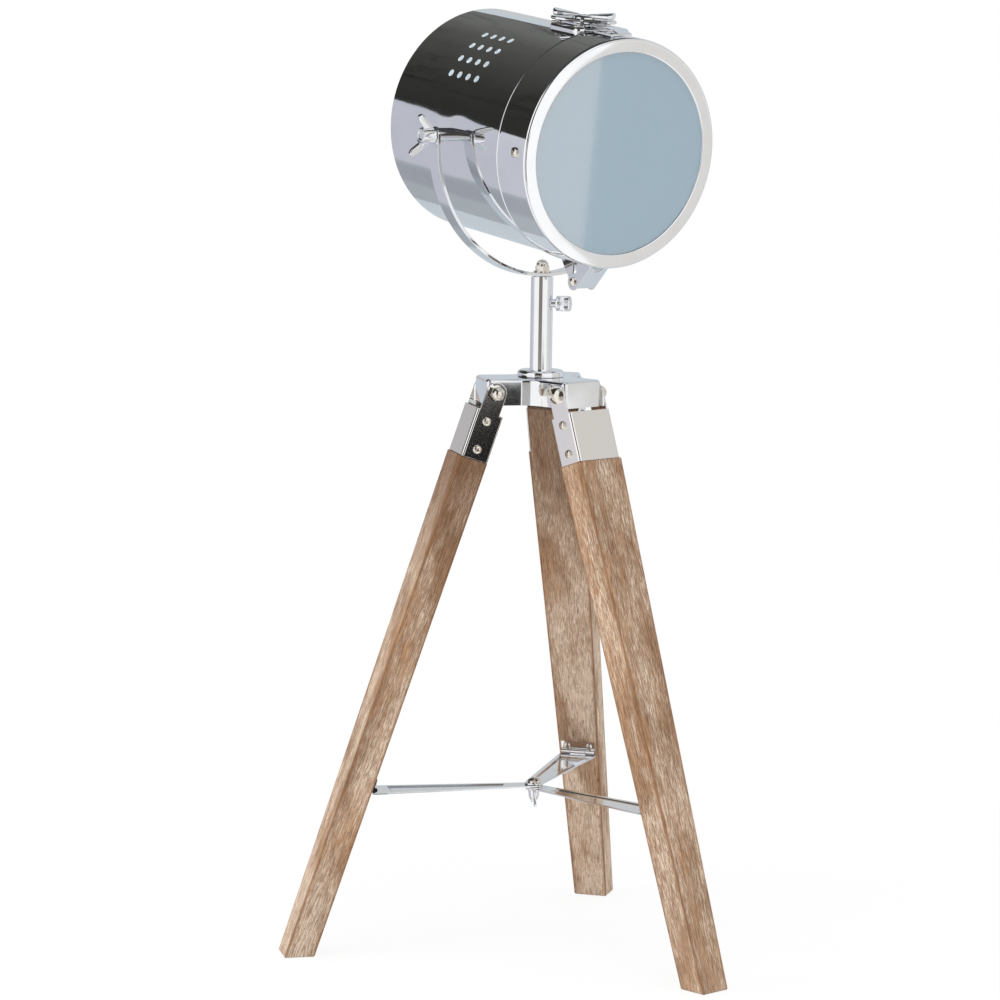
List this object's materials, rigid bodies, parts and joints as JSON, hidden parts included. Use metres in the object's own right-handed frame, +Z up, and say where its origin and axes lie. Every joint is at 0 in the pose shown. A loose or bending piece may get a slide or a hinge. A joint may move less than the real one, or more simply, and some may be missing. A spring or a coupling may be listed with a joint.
{
  "type": "tabletop searchlight lamp",
  "caption": "Drum-shaped searchlight head with a hinged lens door and a butterfly latch, tilting in a half-ring yoke on a telescopic post over a wooden tripod.",
  "frame": {"origin": "on the table, at the middle of the footprint of the three feet", "axes": "+Z up; the lamp's beam points along -Y and 6.5 degrees down; +X is the lamp's left-right pivot axis"},
  "size_m": [0.3303, 0.3123, 0.6823],
  "materials": {
    "shell": "polished",
    "ring": "polished",
    "yoke_metal": "polished",
    "tripod_metal": "satin nickel",
    "post_metal": "polished",
    "fastener": "polished nickel",
    "latch_metal": "polished",
    "rod_metal": "satin",
    "leg_wood": "whitewashed, matte",
    "lens_glass": "frosted",
    "bulb_glass": "frosted",
    "holder_plastic": "matte",
    "seal_rubber": "matte"
  },
  "bodies": {
    "tripod": {"hub_casting": "tripod_metal", "hub_collar": "post_metal", "outer_tube": "post_metal", "tube_stud": "rod_metal", "tube_washer": "rod_metal", "tube_nut": "rod_metal", "leg_left": "leg_wood", "leg_right": "leg_wood", "leg_back": "leg_wood", "leg_bracket_left": "tripod_metal", "leg_bracket_right": "tripod_metal", "leg_bracket_back": "tripod_metal", "leg_pivot_bolts": "fastener", "leg_pivot_nuts": "fastener", "bracket_screws": "fastener", "spreader_hinges": "tripod_metal", "spreader_hinge_pins": "fastener", "spreader_screws": "fastener", "spreader_arm_left": "tripod_metal", "spreader_arm_right": "tripod_metal", "spreader_arm_back": "tripod_metal", "spreader_bolt": "fastener", "spreader_washer": "fastener"},
    "spreader_nut": {"spreader_wing_nut": "fastener"},
    "thumb_screw_body": {"thumb_screw": "fastener"},
    "mast": {"inner_rod": "rod_metal"},
    "yoke_assembly": {"yoke": "yoke_metal", "yoke_washer": "fastener", "yoke_dome_nut": "fastener"},
    "head": {"drum_shell": "shell", "back_cover": "shell", "cable_grommet": "seal_rubber", "holder_nipple": "rod_metal", "holder_nut": "rod_metal", "lamp_holder": "holder_plastic", "bulb": "bulb_glass", "pivot_studs": "fastener", "pivot_bushes": "fastener", "drum_hinge_leaf": "latch_metal", "drum_hinge_rivets": "fastener", "hinge_pin": "fastener", "hinge_nut": "fastener", "hinge_barrel": "fastener", "latch_base": "latch_metal", "latch_rivets": "fastener", "latch_axle": "fastener"},
    "wing_nut_left": {"pivot_wing_nut_left": "fastener"},
    "wing_nut_right": {"pivot_wing_nut_right": "fastener"},
    "door": {"door_cap": "ring", "lens": "lens_glass", "lens_gasket": "seal_rubber", "lens_retainer": "rod_metal", "retainer_screws": "fastener", "door_hinge_leaf": "latch_metal", "door_hinge_rivets": "fastener", "keeper": "latch_metal"},
    "latch_handle_body": {"latch_handle": "latch_metal"},
    "latch_slide_body": {"latch_slide": "latch_metal", "claw_pin": "fastener"},
    "claw_body": {"latch_claw": "latch_metal"}
  },
  "joints": [
    {"name": "mast_slide", "type": "slide", "parent": "tripod", "child": "mast", "axis": [0, 0, 1], "range_m": [0, 0.035]},
    {"name": "yoke_swivel", "type": "hinge", "parent": "mast", "child": "yoke_assembly", "pos_m": [0.01287, 0.02949, 0.49065], "axis": [0, 0, 1], "continuous": true},
    {"name": "head_tilt", "type": "hinge", "parent": "yoke_assembly", "child": "head", "pos_m": [0.01287, 0.02949, 0.59215], "axis": [1, 0, 0], "range_deg": [-29, 12]},
    {"name": "pivot_nut_left_turn", "type": "hinge", "parent": "head", "child": "wing_nut_left", "pos_m": [-0.08633, 0.02949, 0.59215], "axis": [-1, 0, 0], "continuous": true},
    {"name": "pivot_nut_right_turn", "type": "hinge", "parent": "head", "child": "wing_nut_right", "pos_m": [0.11207, 0.02949, 0.59215], "axis": [1, 0, 0], "continuous": true},
    {"name": "door_hinge", "type": "hinge", "parent": "head", "child": "door", "pos_m": [0.01287, -0.01986, 0.4899], "axis": [1, 0, 0], "range_deg": [0, 95]},
    {"name": "latch_turn", "type": "hinge", "parent": "head", "child": "latch_handle_body", "pos_m": [0.01287, -0.01568, 0.67054], "axis": [0, -0.1132, 0.9936], "range_deg": [0, 180]},
    {"name": "latch_slide_travel", "type": "slide", "parent": "head", "child": "latch_slide_body", "axis": [0, -0.9936, -0.1132], "range_m": [0, 0.00501]},
    {"name": "claw_lift", "type": "hinge", "parent": "latch_slide_body", "child": "claw_body", "pos_m": [0.01287, -0.03614, 0.66992], "axis": [-1, 0, 0], "range_deg": [0, 95.1]},
    {"name": "thumb_screw_turn", "type": "hinge", "parent": "tripod", "child": "thumb_screw_body", "pos_m": [0.02291, 0.01834, 0.47125], "axis": [0.6691, -0.7431, 0], "continuous": true},
    {"name": "spreader_nut_turn", "type": "hinge", "parent": "tripod", "child": "spreader_nut", "pos_m": [0.01287, 0.02949, 0.11296], "axis": [0, 0, -1], "continuous": true}
  ],
  "couplings": [
    {"joint": "latch_slide_travel", "follows": "latch_turn", "m_per_rad": 0.0015915},
    {"joint": "claw_lift", "follows": "door_hinge", "ratio": 1}
  ]
}
